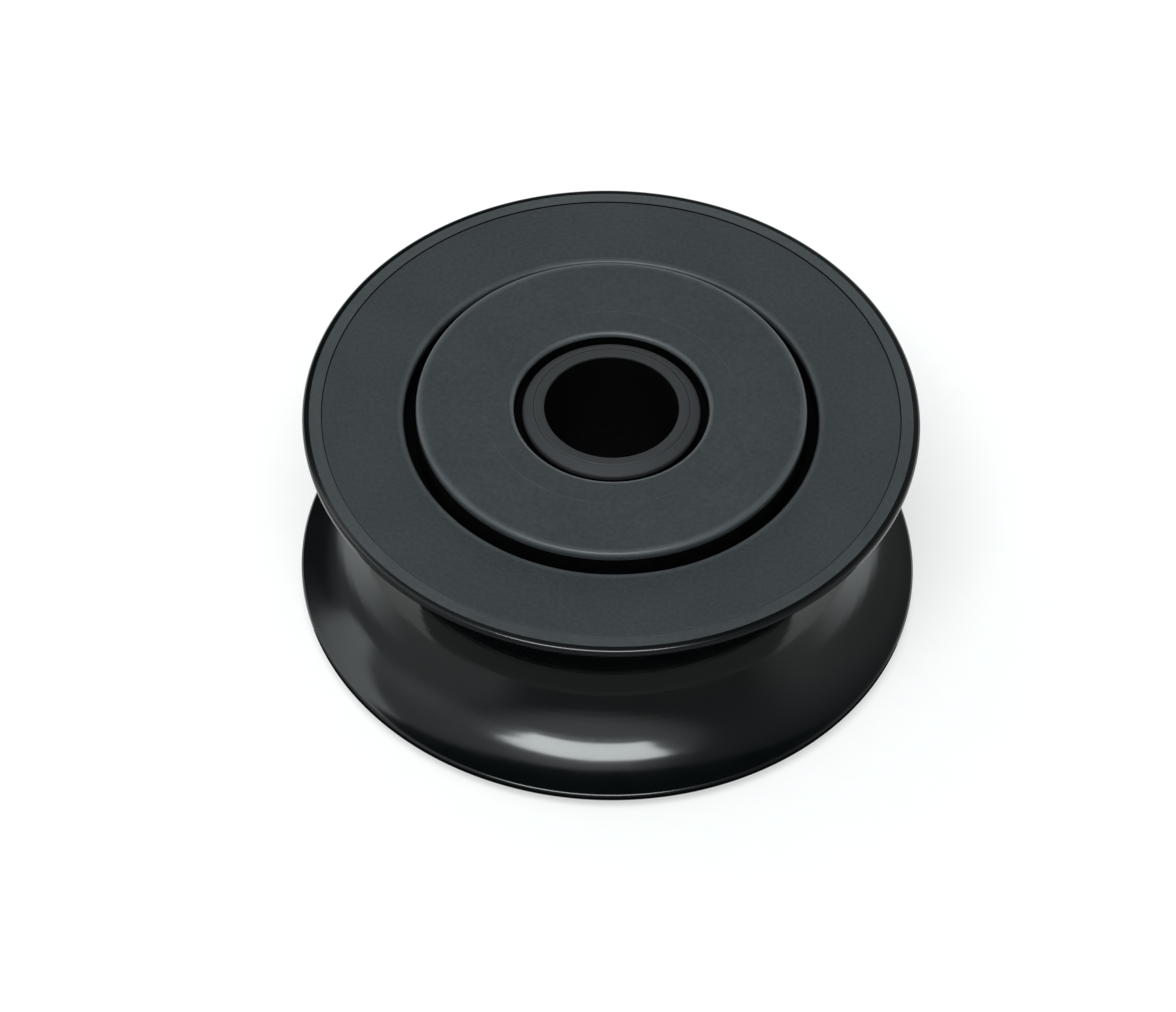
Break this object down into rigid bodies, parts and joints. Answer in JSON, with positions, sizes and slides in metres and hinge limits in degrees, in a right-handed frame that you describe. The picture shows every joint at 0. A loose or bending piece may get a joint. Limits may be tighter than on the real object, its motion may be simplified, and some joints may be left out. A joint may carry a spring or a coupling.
{
  "type": "sailing block sheave",
  "caption": "Grooved rope sheave of a sailing block, turning on two rows of balls around a two-part hub with raised side discs, clamped by a flanged axle bush.",
  "frame": {"origin": "centre of the axle bore in the middle plane of the sheave", "axes": "+Z along the axle towards the front disc; the part lies flat on its rear bush end"},
  "size_m": [0.046, 0.046, 0.0194],
  "materials": {
    "sheave": "black acetal, satin turned side faces and a polished rope groove",
    "hub": "black acetal, satin moulded",
    "bush": "black hard-anodised, satin",
    "ball": "natural acetal, ground smooth"
  },
  "bodies": {
    "hub": {"front_hub_half": "hub", "rear_hub_half": "hub", "axle_bush": "bush"},
    "sheave": {"sheave": "sheave"},
    "front_ball_row": {"front_ball_01": "ball", "front_ball_02": "ball", "front_ball_03": "ball", "front_ball_04": "ball", "front_ball_05": "ball", "front_ball_06": "ball", "front_ball_07": "ball", "front_ball_08": "ball", "front_ball_09": "ball", "front_ball_10": "ball", "front_ball_11": "ball", "front_ball_12": "ball", "front_ball_13": "ball", "front_ball_14": "ball", "front_ball_15": "ball", "front_ball_16": "ball"},
    "rear_ball_row": {"rear_ball_01": "ball", "rear_ball_02": "ball", "rear_ball_03": "ball", "rear_ball_04": "ball", "rear_ball_05": "ball", "rear_ball_06": "ball", "rear_ball_07": "ball", "rear_ball_08": "ball", "rear_ball_09": "ball", "rear_ball_10": "ball", "rear_ball_11": "ball", "rear_ball_12": "ball", "rear_ball_13": "ball", "rear_ball_14": "ball", "rear_ball_15": "ball", "rear_ball_16": "ball"}
  },
  "joints": [
    {"name": "sheave_spin", "type": "hinge", "parent": "hub", "child": "sheave", "pos_m": [0, 0, 0], "axis": [0, 0, 1], "continuous": true},
    {"name": "front_row_orbit", "type": "hinge", "parent": "hub", "child": "front_ball_row", "pos_m": [0, 0, 0.003], "axis": [0, 0, 1], "continuous": true},
    {"name": "rear_row_orbit", "type": "hinge", "parent": "hub", "child": "rear_ball_row", "pos_m": [0, 0, -0.003], "axis": [0, 0, 1], "continuous": true}
  ],
  "couplings": [
    {"joint": "front_row_orbit", "follows": "sheave_spin", "ratio": 0.59259},
    {"joint": "rear_row_orbit", "follows": "sheave_spin", "ratio": 0.59259}
  ]
}
